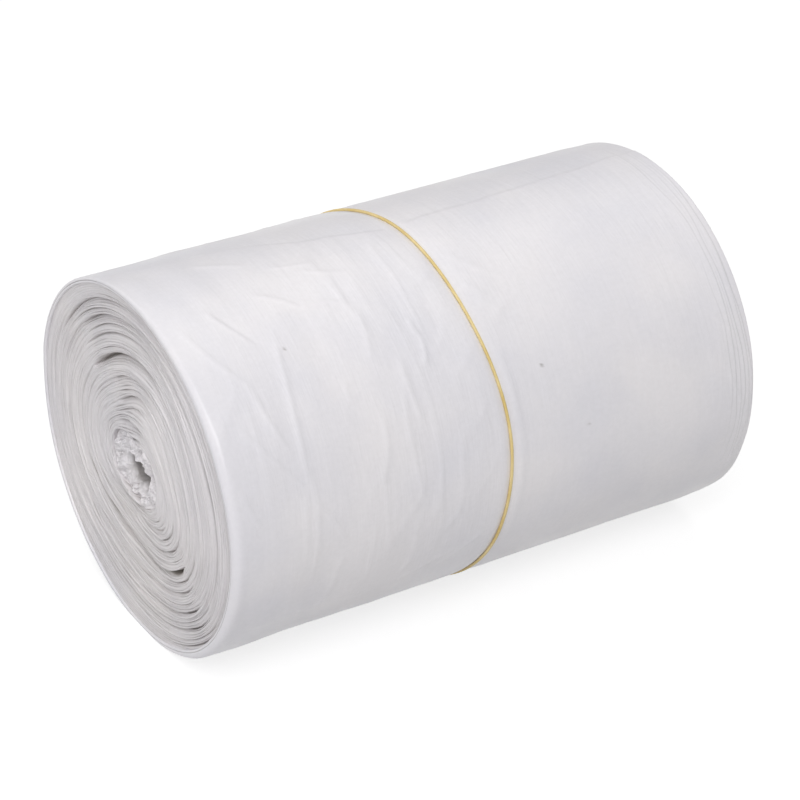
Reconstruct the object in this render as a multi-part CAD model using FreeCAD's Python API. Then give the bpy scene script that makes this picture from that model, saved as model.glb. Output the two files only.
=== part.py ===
"""Coreless roll of thin white bin bags with a rubber band round it, lying on its side.

Frame: +X runs along the roll from the end with the standing rim to the domed end,
+Z is up, and the origin is the middle of the face that the roll rests on.
All lengths are in millimetres.
"""

import FreeCAD, Part
import math
import os

# Outer form of the roll
ROLL_LENGTH = 164.0  # from the rim at the near end to the crown of the far end
ROLL_WIDTH = 110.0  # the soft roll has sagged wider than it is high
ROLL_HEIGHT = 102.0  # height of the oval before the resting face is taken off
FLAT_SAG = 1.3  # how much of the oval the resting face takes off
EDGE_BEVEL = 1.6  # soft outer corner at the near end

# Outermost turns at the far end, each drawn back from the one inside it
TERRACE_COUNT = 2
TERRACE_LENGTH = 3.4
TERRACE_STEP = 0.6

# Turns of film that show at the two ends
TURN_PITCH = 6.7  # from one bundle of film to the next
TURN_GAP = 1.1  # open gap between two bundles at the near end
BAG_ARCS = 3  # quarter turns that one bag takes up before the next one starts
STAGGER = 1.2  # how unevenly the edges of the bags stand
STAGGER_STRIDE = 2.4  # radians from one bag to the next, so that neighbours differ
RIM_THICKNESS = 3.2  # outer turns that stand together as a rim
RIM_STAND = 0.9  # how far the near rim stands past the highest turn inside it
WELL_DEPTH = 6.0  # from the near rim down to where the turns lie tight
DOME_RISE = 2.0  # how far the tight turns at the far end stand out in a low dome
DOME_POWER = 2.0  # how roundly the dome falls off towards the rim

# Crumpled hollow left by the winding spindle
HOLLOW_RADIUS = 5.6  # mean radius of the hollow
HOLLOW_Y = -2.0  # the hollow has sagged off the roll's axis
HOLLOW_Z = -1.0
HOLLOW_SQUEEZE = 1.2  # how far it has collapsed to an oval
HOLLOW_TURN = 35.0  # the way it is drawn out, in degrees
FOLD_DEPTH = 0.8  # depth of the pleats in its wall
FOLD_COUNT = 6
COLLAR_WALL = 1.5  # innermost film, which stands up round the hollow
COLLAR_RECESS = 3.0  # the collar stops this far short of the rim or crown

# Rubber band
BAND_X = -4.8  # where the band crosses the roll's axis
BAND_WIDTH = 1.0
BAND_THICKNESS = 0.9
BAND_YAW = 4.5  # degrees that the band is turned about the vertical
BAND_TILT = 1.6  # degrees that it is turned about Y
BAND_PROUD = 0.4  # how far the band stands out of the film
BAND_CLEARANCE = 0.05  # between the band and the film that it presses in
FLOOR_CLEARANCE = 0.05  # between the band and the floor under the roll

SINK = 0.5  # how far a standing turn is rooted in the tight film
PAST = 1.0  # how far a cutter runs past what it cuts

HALF_WIDTH = ROLL_WIDTH / 2
HALF_HEIGHT = ROLL_HEIGHT / 2
AXIS_Z = HALF_HEIGHT - FLAT_SAG
NEAR_X = -ROLL_LENGTH / 2
FAR_X = ROLL_LENGTH / 2
FAR_RIM_X = FAR_X - DOME_RISE - STAGGER
SHOULDER_X = FAR_RIM_X - TERRACE_COUNT * TERRACE_LENGTH
NEAR_FLOOR_X = NEAR_X + WELL_DEPTH
TERRACE_INSET = TERRACE_COUNT * TERRACE_STEP
# Where the outermost turn merges into the rim, at both ends
MERGE_INSET = (RIM_THICKNESS + TERRACE_INSET) / 2
TURN_THICKNESS = TURN_PITCH - TURN_GAP
# Distance of the four centres from the axis in an oval made of quarter arcs
CENTRE_SHIFT = (HALF_WIDTH - HALF_HEIGHT) / (2 - math.sqrt(2))
# Radius of the first turn's arcs at the sides: its rounder arcs are as round as the hollow
FIRST_SIDE_RADIUS = HOLLOW_RADIUS + max(0, -math.sqrt(2) * CENTRE_SHIFT)
# Half widths of the spiral's first turn and of the turn that has run into the rim
FIRST_RADIUS = CENTRE_SHIFT + FIRST_SIDE_RADIUS
LAST_RADIUS = HALF_WIDTH - MERGE_INSET + TURN_THICKNESS / 2
ARC_COUNT = math.ceil(4 * (LAST_RADIUS - FIRST_RADIUS) / TURN_PITCH)
BAG_COUNT = math.ceil(ARC_COUNT / BAG_ARCS)

QUARTER = 90  # degrees
ALONG = FreeCAD.Vector(1, 0, 0)
BAND_CENTRE = FreeCAD.Vector(BAND_X, 0, AXIS_Z)


def direction(angle):
    """Unit vector across the roll at an angle in degrees, 0 along +Y and 90 along +Z."""
    turned = math.radians(angle)
    return FreeCAD.Vector(0, math.cos(turned), math.sin(turned))


def arc_edge(centre, radius, start):
    """A quarter arc about centre that begins at the angle start."""
    angles = (start, start + QUARTER / 2, start + QUARTER)
    points = [centre + direction(angle) * radius for angle in angles]
    return Part.Arc(*points).toShape()


def oval_wire(x, inset=0.0, stretch=1.0):
    """The roll's section at x, drawn in all round by inset: four tangent quarter arcs,
    the ones at the sides rounder than those at the top and the bottom."""
    half_width = HALF_WIDTH * stretch
    shift = (half_width - HALF_HEIGHT) / (2 - math.sqrt(2))
    side_radius = half_width - inset - shift
    flat_radius = side_radius + math.sqrt(2) * shift
    middle = FreeCAD.Vector(x, 0, AXIS_Z)
    edges = []
    for side in (0, 2 * QUARTER):
        start = side - QUARTER / 2
        edges.append(arc_edge(middle + direction(side) * shift, side_radius, start))
        away = direction(side + QUARTER) * shift
        edges.append(arc_edge(middle - away, flat_radius, start + QUARTER))
    return Part.Wire(edges)


def oval_prism(start, end, inset=0.0, stretch=1.0):
    return Part.Face(oval_wire(start, inset, stretch)).extrude(ALONG * (end - start))


def tight_roll():
    """The full oval, with a soft corner and a well at the near end, and the terraces of
    the outermost turns at the far end."""
    body = oval_prism(NEAR_X, SHOULDER_X)
    near_corner = [e for e in body.Edges if e.BoundBox.XMax < NEAR_X + EDGE_BEVEL]
    body = body.makeChamfer(EDGE_BEVEL, near_corner)
    terraces = [
        oval_prism(NEAR_FLOOR_X, SHOULDER_X + i * TERRACE_LENGTH, i * TERRACE_STEP)
        for i in range(1, TERRACE_COUNT + 1)
    ]
    well = oval_prism(NEAR_X - PAST, NEAR_FLOOR_X, RIM_THICKNESS)
    return body.fuse(terraces).cut(well)


def spiral_edges(x, offset):
    """The spiral as tangent quarter arcs, offset from the middle of the wound bundle.
    Each turn's radius is larger than the last one's by the pitch, and the arcs at the
    top and the bottom are flatter, as in the roll's own section."""
    edges = []
    centre = FreeCAD.Vector(x, CENTRE_SHIFT, AXIS_Z)
    radius = FIRST_SIDE_RADIUS
    for k in range(ARC_COUNT):
        start = QUARTER * k - QUARTER / 2
        edges.append(arc_edge(centre, radius + offset, start))
        growth = TURN_PITCH / 4 + math.sqrt(2) * CENTRE_SHIFT * (-1) ** k
        centre = centre - direction(start + QUARTER) * growth
        radius = radius + growth
    return edges


def bag_wall(first, thickness, root, edge):
    """One bag's quarter turns, from the one numbered first, standing from root to edge.
    What would reach past the rim is taken off."""
    last = min(first + BAG_ARCS, ARC_COUNT)
    inner = spiral_edges(root, -thickness / 2)[first:last]
    outer = spiral_edges(root, thickness / 2)[first:last]
    caps = [
        Part.makeLine(inner[0].firstVertex().Point, outer[0].firstVertex().Point),
        Part.makeLine(inner[-1].lastVertex().Point, outer[-1].lastVertex().Point),
    ]
    outline = Part.Wire(Part.__sortEdges__(inner + outer + caps))
    wall = Part.Face(outline).extrude(ALONG * (edge - root))
    return wall.common(oval_prism(NEAR_X - PAST, FAR_X + PAST, MERGE_INSET))


def stagger(bag):
    """From 0 to STAGGER: how far back the edge of a bag stands."""
    return STAGGER * (1 - math.cos(STAGGER_STRIDE * bag)) / 2


def near_turns():
    """Loose turns that stand in the well, with open gaps between them."""
    root = NEAR_FLOOR_X + SINK
    edges = [NEAR_X + RIM_STAND + stagger(bag) for bag in range(BAG_COUNT)]
    return [bag_wall(i * BAG_ARCS, TURN_THICKNESS, root, edge) for i, edge in enumerate(edges)]


def far_turns():
    """Tight turns that stand in a low dome, one against the next."""
    root = FAR_RIM_X - SINK
    falls = [DOME_RISE * (bag / BAG_COUNT) ** DOME_POWER for bag in range(BAG_COUNT)]
    edges = [FAR_X - fall - stagger(bag) for bag, fall in enumerate(falls)]
    return [bag_wall(i * BAG_ARCS, TURN_PITCH, root, edge) for i, edge in enumerate(edges)]


def pleated_face(x, offset):
    """Section of the crumpled hollow: a collapsed circle whose wall is pleated by arcs
    that bulge out and in by turns, grown by offset."""

    def point(angle, fold):
        collapse = HOLLOW_SQUEEZE * math.cos(math.radians(2 * (angle - HOLLOW_TURN)))
        middle = FreeCAD.Vector(x, HOLLOW_Y, AXIS_Z + HOLLOW_Z)
        return middle + direction(angle) * (HOLLOW_RADIUS + collapse + fold + offset)

    step = 2 * QUARTER / FOLD_COUNT
    edges = []
    for i in range(2 * FOLD_COUNT):
        fold = FOLD_DEPTH * (-1) ** i
        start = i * step
        middle = point(start + step / 2, fold)
        edges.append(Part.Arc(point(start, 0), middle, point(start + step, 0)).toShape())
    return Part.Face(Part.Wire(edges))


def collar():
    """Innermost film, standing up round the hollow at both ends."""
    near = NEAR_X + COLLAR_RECESS
    far = FAR_X - COLLAR_RECESS
    return pleated_face(near, COLLAR_WALL).extrude(ALONG * (far - near))


def hollow():
    return pleated_face(NEAR_X - PAST, 0).extrude(ALONG * (ROLL_LENGTH + 2 * PAST))


def lean(shape):
    """Turns a shape that stands square across the roll into the plane of the band."""
    shape.rotate(BAND_CENTRE, FreeCAD.Vector(0, 0, 1), BAND_YAW)
    shape.rotate(BAND_CENTRE, FreeCAD.Vector(0, 1, 0), BAND_TILT)
    return shape


def band_stretch():
    """A leaning section is wider than a square one."""
    return 1 / math.cos(math.radians(BAND_YAW))


def leaning_disc(width, outset, bottom):
    """A slice of the roll in the plane of the band, grown by outset and cut off flat
    at the height of bottom."""
    disc = oval_prism(BAND_X - width / 2, BAND_X + width / 2, -outset, band_stretch())
    return lean(disc).cut(below(bottom))


def rubber_band():
    outer = leaning_disc(BAND_WIDTH, BAND_PROUD, FLOOR_CLEARANCE)
    inner_bottom = FLOOR_CLEARANCE + BAND_THICKNESS
    inner = leaning_disc(BAND_WIDTH + 2 * PAST, BAND_PROUD - BAND_THICKNESS, inner_bottom)
    return outer.cut(inner)


def band_seat():
    """The groove that the band presses into the film."""
    outset = BAND_PROUD - BAND_THICKNESS - BAND_CLEARANCE
    bottom = FLOOR_CLEARANCE + BAND_THICKNESS + BAND_CLEARANCE
    around = leaning_disc(BAND_WIDTH + 2 * BAND_CLEARANCE, PAST, -FLAT_SAG - PAST)
    return around.cut(leaning_disc(BAND_WIDTH + 2 * PAST, outset, bottom))


def below(height):
    """Everything under a height, the floor being at 0."""
    depth = FLAT_SAG + 2 * PAST
    corner = FreeCAD.Vector(NEAR_X - PAST, -ROLL_WIDTH, height - depth)
    return Part.makeBox(ROLL_LENGTH + 2 * PAST, 2 * ROLL_WIDTH, depth, corner)


def bag_roll():
    roll = tight_roll().fuse(near_turns() + far_turns() + [collar()])
    roll = roll.cut([hollow(), band_seat(), below(0)])
    return roll.removeSplitter()


def main():
    os.makedirs("parts", exist_ok=True)
    for name, shape in {"bag_roll": bag_roll(), "rubber_band": rubber_band()}.items():
        box = shape.BoundBox
        print(name, "solids", len(shape.Solids), "valid", shape.isValid(), "volume", shape.Volume)
        print([round(v, 2) for v in (box.XMin, box.XMax, box.YMin, box.YMax, box.ZMin, box.ZMax)])
        shape.exportStep(f"parts/{name}.step")


main()
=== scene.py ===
import math

import bpy
import numpy as np
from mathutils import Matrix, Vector


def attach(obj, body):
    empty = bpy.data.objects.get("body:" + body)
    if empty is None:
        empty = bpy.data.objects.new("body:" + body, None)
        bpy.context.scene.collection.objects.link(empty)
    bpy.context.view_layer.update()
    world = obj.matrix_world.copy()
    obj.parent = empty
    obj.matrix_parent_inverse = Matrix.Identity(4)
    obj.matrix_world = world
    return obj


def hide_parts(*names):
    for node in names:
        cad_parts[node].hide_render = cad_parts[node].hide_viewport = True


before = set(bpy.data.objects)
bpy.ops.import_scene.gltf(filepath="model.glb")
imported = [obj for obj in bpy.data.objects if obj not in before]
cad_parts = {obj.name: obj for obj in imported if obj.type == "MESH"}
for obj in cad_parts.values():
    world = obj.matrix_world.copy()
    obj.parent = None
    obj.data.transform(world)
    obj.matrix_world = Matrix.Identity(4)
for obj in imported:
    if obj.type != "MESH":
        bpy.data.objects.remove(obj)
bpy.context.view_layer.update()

# All lengths below are in millimetres, and MM turns them into metres
MM = 0.001

# The roll's section: support distance = MEAN_RADIUS + SAG_WIDTH * cos(2 * angle)
MEAN_RADIUS = 53.0
SAG_WIDTH = 2.0
AXIS_Z = 49.7
# Length of one degree round the roll
DEGREE_LENGTH = math.radians(MEAN_RADIUS)

NEAR_X = -82.0
FAR_RIM_X = 79.3
FAR_CROWN_X = 82.0

# The rubber band crosses the axis at BAND_X, leans by so much along the roll for each
# millimetre of y and z, and is bent a little
BAND_X = -4.8
BAND_LEAN_Y = -0.0787
BAND_LEAN_Z = 0.0279
BAND_BEND = 0.6
BAND_HALF_WIDTH = 0.38
BAND_HALF_HEIGHT = 0.36
BAND_SINK = 0.26


# Shared shapes

def smooth_step(value, low, high):
    """0 below low, 1 above high, and 3 s^2 - 2 s^3 in between."""
    share = np.clip((value - low) / (high - low), 0.0, 1.0)
    return share * share * (3.0 - 2.0 * share)


def turned_near(degrees):
    """The same angle between -180 and 180 degrees."""
    return (degrees + 180.0) % 360.0 - 180.0


def window(degrees, first, last, fade):
    """1 from the angle first up to last, 0 outside them, with a soft step fade wide at each."""
    middle = 0.5 * (first + last)
    away = np.abs(turned_near(degrees - middle))
    half = 0.5 * (last - first)
    return 1.0 - smooth_step(away, half - 0.5 * fade, half + 0.5 * fade)


# Whole steps of u after which drift repeats, and of v along the wound strip and the crushed film
DRIFT_CELLS = 64
STRIP_CELLS = 512
FOLD_CELLS = 256


def drift(u, v, seed, round_cells):
    """Smooth noise of about -1 to 1: a random value at each whole (u, v), joined by quintic
    steps. It repeats after round_cells whole steps of v."""
    values = np.random.default_rng(seed).uniform(-1.0, 1.0, (DRIFT_CELLS, round_cells))
    u0 = np.floor(u).astype(int)
    v0 = np.floor(v).astype(int)
    fu = u - u0
    fv = v - v0
    fu = fu * fu * fu * (fu * (fu * 6.0 - 15.0) + 10.0)
    fv = fv * fv * fv * (fv * (fv * 6.0 - 15.0) + 10.0)
    u1 = (u0 + 1) % DRIFT_CELLS
    v1 = (v0 + 1) % round_cells
    u0 = u0 % DRIFT_CELLS
    v0 = v0 % round_cells
    a = values[u0, v0]
    b = values[u1, v0]
    c = values[u0, v1]
    d = values[u1, v1]
    return (a * (1.0 - fu) + b * fu) * (1.0 - fv) + (c * (1.0 - fu) + d * fu) * fv


def corner_uv(uv, faces, axis, period):
    """The UV of every face corner, moved by whole periods to lie beside the first corner's."""
    corners = uv[faces]
    jumps = np.round((corners[..., axis] - corners[:, :1, axis]) / period[axis])
    return corners - jumps[..., None] * np.array(period)


def make_piece(name, points, faces, uv, shade, axis=1, period=(0.0, 1e9)):
    """A smooth mesh object from points in millimetres and quads by index. Each point has its
    (u, v) in millimetres and a shade: painted shade, 1 down in a gap and 0 on the open film.
    The same attribute also darkens the real dark specks."""
    mesh = bpy.data.meshes.new(name)
    mesh.from_pydata((points * MM).tolist(), [], faces.tolist())
    mesh.polygons.foreach_set("use_smooth", np.ones(len(faces), bool))
    layer = mesh.uv_layers.new(name="along_across")
    layer.data.foreach_set("uv", corner_uv(uv, faces, axis, period).astype(np.float32).ravel())
    # The shade attribute: painted shade in gaps, grooves and the hollow, and the real dark specks
    depth = mesh.attributes.new("shade", "FLOAT", "POINT")
    depth.data.foreach_set("value", np.ravel(shade).astype(np.float32))
    mesh.update()
    piece = bpy.data.objects.new(name, mesh)
    bpy.context.scene.collection.objects.link(piece)
    return piece


def ring_quads(rows, columns):
    """Quads of a grid whose columns close into a ring, in the order that faces them outwards
    when rows run along +X or, on the near end, from the axis outwards."""
    row, column = np.meshgrid(np.arange(rows - 1), np.arange(columns), indexing="ij")
    after = (column + 1) % columns
    quads = np.stack([row * columns + column, row * columns + after,
                      (row + 1) * columns + after, (row + 1) * columns + column], axis=-1)
    return quads.reshape(-1, 4)


def soft_floor(z, softness=0.35):
    """The larger of z and 0, with the corner between them rounded: (z + sqrt(z^2 + s^2)) / 2."""
    return 0.5 * (z + np.sqrt(z * z + softness * softness))


def roll_section(angle, offset):
    """Points of the section by the angle of its normal: support h = mean + sag * cos 2a + offset,
    y = h cos a - h' sin a, z = h sin a + h' cos a."""
    support = MEAN_RADIUS + SAG_WIDTH * np.cos(2.0 * angle) + offset
    slope = -2.0 * SAG_WIDTH * np.sin(2.0 * angle)
    y = support * np.cos(angle) - slope * np.sin(angle)
    z = support * np.sin(angle) + slope * np.cos(angle)
    return y, soft_floor(AXIS_Z + z)


# The film along the side: creases, slack and the pinch under the band

# Each crease: start and end as (mm along the roll, degrees round it), bow sideways in mm,
# height in mm (below zero it is a valley), width in mm
CREASES = [
    ((-54, 120), (-59, 166), 1.5, 0.5, 0.8),
    ((-58, 160), (-60, 196), -1.0, 0.42, 0.9),
    ((-67, 133), (-62, 155), 1.0, 0.4, 0.7),
    ((-77, 110), (-67, 134), 1.5, 0.4, 0.7),
    ((-68, 107), (-60, 123), 0.5, 0.35, 0.7),
    ((-66, 109), (-58, 125), 0.5, -0.25, 0.7),
    ((-74, 144), (-60, 165), 0.6, 0.32, 0.7),
    ((-60, 166), (-61, 186), 0.8, 0.34, 0.8),
    ((-58, 169), (-49, 185), -0.5, 0.3, 0.7),
    ((-53, 106), (-43, 115), -0.6, 0.42, 0.7),
    ((-44, 115), (-32, 117), -1.2, 0.4, 0.7),
    ((-31, 103), (-32, 120), 0.0, 0.3, 0.7),
    ((-30, 121), (-33, 138), -0.4, 0.3, 0.7),
    ((-18, 128), (-17, 134), 0.4, 0.45, 0.6),
    ((-17, 133), (-19, 143), -0.6, 0.5, 0.6),
    ((-25, 138), (-24, 158), 0.8, 0.45, 0.8),
    ((-27, 146), (-27, 178), 1.4, 0.42, 0.8),
    ((-35, 150), (-39, 171), -1.5, 0.36, 0.8),
    ((-28, 183), (-28, 197), 0.5, 0.34, 0.9),
    ((-28, 196), (-33, 212), 0.5, 0.36, 0.9),
    ((-21, 170), (-23, 186), 0.0, 0.28, 0.8),
    ((-41, 180), (-43, 204), 0.0, 0.24, 0.8),
    ((-50, 187), (-53, 206), 0.8, 0.32, 0.8),
    ((-78, 160), (-74, 172), 0.4, 0.3, 0.7),
    ((-42, 140), (-42, 147), 0.0, 0.22, 0.6),
    ((-6, 196), (-20, 208), 0.0, 0.3, 0.8),
    ((-12, 200), (-34, 210), 0.6, 0.24, 0.7),
    ((-77, 207), (-44, 204), 2.0, 0.3, 1.0),
    ((-61, 83), (-48, 92), 0.0, 0.25, 0.9),
    ((-44, 96), (-31, 99), 0.4, 0.22, 0.6),
    ((-37, 101), (-25, 107), 0.4, 0.2, 0.6),
    ((-14, 118), (-4, 115), 0.4, 0.24, 0.8),
    ((2, 110), (12, 122), 0.6, 0.24, 0.9),
    ((1, 122), (6, 128), -0.4, 0.3, 0.8),
    ((3, 128), (9, 133), 0.4, 0.26, 0.8),
    ((4, 136), (12, 129), 0.5, 0.22, 0.9),
    ((-12, 148), (-2, 139), 0.5, 0.16, 0.7),
    ((-12, 165), (-3, 154), 0.5, 0.16, 0.7),
    ((-10, 181), (-3, 170), 0.5, 0.18, 0.7),
    ((20, 150), (38, 142), 0.8, 0.14, 1.2),
    ((30, 118), (55, 112), -1.0, 0.16, 1.5),
    ((70, 168), (76, 182), 0.5, 0.3, 1.0),
    ((66, 150), (75, 160), -0.5, 0.22, 1.0),
    ((-40, 12), (-34, 52), 1.2, 0.36, 0.9),
    ((-60, -28), (-52, 18), -1.4, 0.4, 0.9),
    ((-22, -48), (-26, -8), 1.0, 0.34, 0.9),
    ((-66, 30), (-50, 60), 0.8, 0.34, 0.8),
    ((-14, 22), (-18, 64), -1.0, 0.3, 0.9),
    ((14, -20), (12, 24), 0.8, 0.2, 1.1),
    ((44, 16), (58, 44), 1.0, 0.18, 1.2),
]

# Tiny dark specks: on the side film as (mm along the roll, degrees round it), and one on the
# near end as (y, z)
SPECKS = [(-53.5, 126.3), (13.6, 151.5), (24.2, 171.4), (-31.0, 38.0), (47.0, 300.0)]
NEAR_SPECK = (24.8, 34.6)
SPECK_RADIUS = 0.32

# The loose tail of the film: the edge of the last turn as (mm along the roll, degrees round it)
TAIL = [(-82.0, 70.5), (-47.0, 77.0), (-30.0, 86.0), (-7.0, 92.0), (8.0, 90.5), (35.0, 89.0),
        (82.0, 84.0)]
TAIL_HEIGHT = 0.22

# The valley that the band presses into the film
PINCH_DEPTH = 0.58
PINCH_REACH = 1.3


def crease_height(x, degrees):
    """Sum of ridges. Along a crease s runs 0 to 1 and u is the distance in mm sideways, less the
    bow 4 b s (1 - s); each ridge is height * exp(-sqrt((u / w)^2 + 0.15)) * taper(s)."""
    total = np.zeros(np.broadcast(x, degrees).shape)
    for (x0, a0), (x1, a1), bow, height, width in CREASES:
        dx = x1 - x0
        da = (a1 - a0) * DEGREE_LENGTH
        length = math.hypot(dx, da)
        px = x - x0
        pa = turned_near(degrees - a0) * DEGREE_LENGTH
        s = (px * dx + pa * da) / length ** 2
        u = (pa * dx - px * da) / length - 4.0 * bow * s * (1.0 - s)
        taper = smooth_step(s, -0.08, 0.22) * (1.0 - smooth_step(s, 0.75, 1.08))
        total += height * taper * np.exp(-np.sqrt((u / width) ** 2 + 0.15))
    return total


def slack(x, degrees):
    """Low waves of the loose outer film, drawn out round the roll; most on the near half. The
    sharp ones are 0.3 - |drift|, the ridges where two waves meet."""
    near = 1.0 - 0.7 * smooth_step(x, -20.0, 20.0)
    wide = drift(x / 14.0 + 3.0, degrees / 360.0 * 9.0, 11, 9)
    mid = drift(x / 6.5 + 20.0, degrees / 360.0 * 22.0 + x * 0.03, 12, 22)
    fine = drift(x / 2.8 + 7.0, degrees / 360.0 * 48.0, 13, 48)
    sharp = 0.3 - np.abs(drift(x / 5.5 + 9.3, degrees / 360.0 * 16.0 + x * 0.05, 14, 16))
    patch = smooth_step(drift(x / 22.0 + 2.6, degrees / 360.0 * 10.0, 15, 10), -0.2, 0.5)
    return near * (0.22 * wide + 0.1 * mid + 0.03 * fine + 0.34 * patch * np.maximum(sharp, -0.1))


def tail_step(x, degrees):
    """The last turn of film ends in a small step along the tail line: 1 below it, 0 above."""
    edge_x, edge_degrees = np.array(TAIL).T
    edge = np.interp(x, edge_x, edge_degrees)
    edge = edge + 0.5 * drift(x / 9.0 + 5.5, 0.0 * x, 16, 8)
    away = turned_near(degrees - edge)
    return smooth_step(away, -0.35, 0.35) * (1.0 - smooth_step(away, 0.0, 60.0))


def speck_shade(x, degrees):
    """exp(-(d / r)^2) round each speck, d being the distance along the film."""
    total = np.zeros(x.shape)
    for speck_x, speck_degrees in SPECKS:
        across = turned_near(degrees - speck_degrees) * DEGREE_LENGTH
        total += np.exp(-((x - speck_x) ** 2 + across ** 2) / SPECK_RADIUS ** 2)
    return total


def seen_degrees(angle):
    """The direction from the axis of the point whose normal has that angle: a - 4.3 sin 2a."""
    return np.degrees(angle) - 4.3 * np.sin(2.0 * angle)


def band_centre(angle):
    """Where the leaning band's middle is along the roll: a plane with the two leans, and on the
    upper side towards -Y a bend of BAND_BEND cos 4(a - 172)."""
    y = (MEAN_RADIUS + SAG_WIDTH) * np.cos(angle)
    z = (MEAN_RADIUS - SAG_WIDTH) * np.sin(angle)
    degrees = seen_degrees(angle)
    bend = BAND_BEND * np.cos(np.radians(4.0 * (degrees - 172.0))) * window(degrees, 75.0, 185.0, 40.0)
    return BAND_X + BAND_LEAN_Y * y + BAND_LEAN_Z * z + bend


def side_shift(x, angle):
    """How far the film stands out of the even section, in mm: creases, slack and the tail's
    step, which fade out beside the band, less the valley exp(-distance / reach) under it."""
    degrees = seen_degrees(angle)
    away = x - band_centre(angle)
    bulge = 0.25 * window(degrees, 148.0, 204.0, 24.0) * np.exp(-((away - 3.2) / 1.1) ** 2)
    pinch = bulge - PINCH_DEPTH * np.exp(-np.maximum(np.abs(away) - 0.4, 0.0) / PINCH_REACH)
    settle = smooth_step(np.abs(away), 0.8, 6.0)
    rim = smooth_step(x, NEAR_X, NEAR_X + 4.0)
    relief = crease_height(x, degrees) + slack(x, degrees) + TAIL_HEIGHT * tail_step(x, degrees)
    return pinch - 0.1 + relief * settle * (0.35 + 0.65 * rim)


# Points round the side film and its UV's period there, rows along its near half, and the row
# of the near rim's groove
ROUND_COUNT = 640
NEAR_ROWS = 132
GROOVE_ROW = 8
ROUND_PERIOD = (0.0, 2.0 * math.pi * MEAN_RADIUS)


def near_rim_profile(degrees):
    """(x, inset) rows over the near rim for every angle: up the inner wall, over a thin top with
    a groove inside the outermost layer, and round the corner, which is wide and soft only on
    the side that has slumped towards -Y."""
    soft = window(degrees, 112.0, 250.0, 90.0)
    wall = 1.5 + 1.7 * soft
    corner = 0.55 + 1.7 * soft
    lip = 0.35
    uneven = 0.6 + 0.4 * drift(0.0 * degrees + 9.4, degrees / 20.0, 22, 18)
    groove = 0.12 + 0.5 * (1.0 - soft) * uneven
    rows_x = [-76.0 + 0.0 * wall, -78.5 + 0.0 * wall, -80.6 + 0.0 * wall]
    rows_inset = [wall + 0.6, wall + 0.3, wall + 0.08]
    for turn in np.radians([20.0, 45.0, 70.0, 90.0]):
        rows_x.append(NEAR_X + lip - lip * np.sin(turn) + 0.0 * wall)
        rows_inset.append(wall - lip + lip * np.cos(turn))
    middle = 0.5 * (wall - lip + corner)
    for side, depth in ((0.14, 0.0), (0.0, 1.0), (-0.14, 0.0)):
        rows_x.append(NEAR_X + depth * groove)
        rows_inset.append(middle + side)
    for turn in np.radians(np.linspace(90.0, 0.0, 9)):
        rows_x.append(NEAR_X + corner * (1.0 - np.sin(turn)))
        rows_inset.append(corner * (1.0 - np.cos(turn)))
    return np.concatenate(rows_x), np.concatenate(rows_inset)


def side_piece(name, x, angle, shift, row_shades):
    """A grid of rows along the roll and columns round it, shifted outwards from the section.
    row_shades gives the painted shade of rows that lie in a groove or inside a rim."""
    y, z = roll_section(angle, shift)
    points = np.stack([x, y, z], axis=-1).reshape(-1, 3)
    uv = np.stack([x, np.degrees(angle) * DEGREE_LENGTH], axis=-1).reshape(-1, 2)
    shade = speck_shade(x, seen_degrees(angle))
    for row, value in row_shades.items():
        shade[row] = value
    faces = ring_quads(len(x), ROUND_COUNT)
    return make_piece(name, points, faces, uv, shade, 1, ROUND_PERIOD)


def film_near_half():
    """The side film from inside the near rim to the band. Its rim stands a little unevenly."""
    angle = np.linspace(0.0, 2.0 * np.pi, ROUND_COUNT, endpoint=False)[None, :]
    rim_x, rim_inset = near_rim_profile(np.degrees(angle))
    end = band_centre(angle)
    share = np.linspace(0.0, 1.0, NEAR_ROWS + 1)[1:, None]
    side_x = rim_x[-1:] + (end - rim_x[-1:]) * share
    x = np.concatenate([rim_x, side_x])
    inset = np.concatenate([rim_inset, np.zeros(side_x.shape)])
    angle = np.broadcast_to(angle, x.shape)
    degrees = np.degrees(angle)
    wave = 0.15 + 0.3 * drift(0.0 * x + 4.3, degrees / 360.0 * 14.0, 21, 14)
    at_rim = 1.0 - smooth_step(x, NEAR_X + 1.0, NEAR_X + 10.0)
    x = x + at_rim * np.maximum(wave, 0.0)
    shift = side_shift(x, angle) - inset
    # Painted shade on the rows inside the rim and down its groove
    return side_piece("film_near_half", x, angle, shift, {0: 0.9, 1: 0.9, 2: 0.5, GROOVE_ROW: 0.75})


# Rows of the far half: plain ones to the shoulder, those over the terraces, those round the
# rim, and x and inset of the last ones inside the rim
SHOULDER_X = 69.0
PLAIN_ROWS = 86
TERRACE_ROWS = 49
RIM_ROWS = 5
RIM_ROUND = 0.5
WALL_X = [79.3, 78.9, 77.2]
WALL_INSET = [1.4, 1.9, 2.2]

# Layer edges at the far shoulder: x where each ends, and how far the next lies inside it
FAR_TERRACES = [(70.6, 0.08), (72.2, 0.14), (73.7, 0.1), (75.2, 0.15), (76.6, 0.15), (77.9, 0.2)]


def far_drop(x, degrees):
    """How far the section has shrunk at x near the far end, each layer's edge a small step. The
    steps waver, come and go, and are deepest low on the side towards -Y."""
    drop = np.zeros(np.broadcast(x, degrees).shape)
    low = window(degrees, 140.0, 225.0, 60.0)
    for number, (edge, depth) in enumerate(FAR_TERRACES):
        waver = 1.2 * drift(np.full(x.shape, number + 0.37), degrees / 360.0 * 8.0, 31, 8)
        waver = waver + 0.3 * drift(np.full(x.shape, number + 0.8), degrees / 360.0 * 31.0, 32, 31)
        patches = drift(np.full(x.shape, number * 2.0 + 0.6), degrees / 40.0, 33, 9)
        strength = 0.35 + low + 0.5 * patches
        edge = edge + waver
        drop = drop + depth * np.maximum(strength, 0.0) * smooth_step(x, edge - 0.15, edge + 0.2)
    lumps = 0.4 * drift(x / 8.0 + 1.5, degrees / 360.0 * 20.0, 34, 20) * smooth_step(x, 54.0, 72.0)
    return drop - lumps * (0.25 + 0.75 * low)


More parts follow.
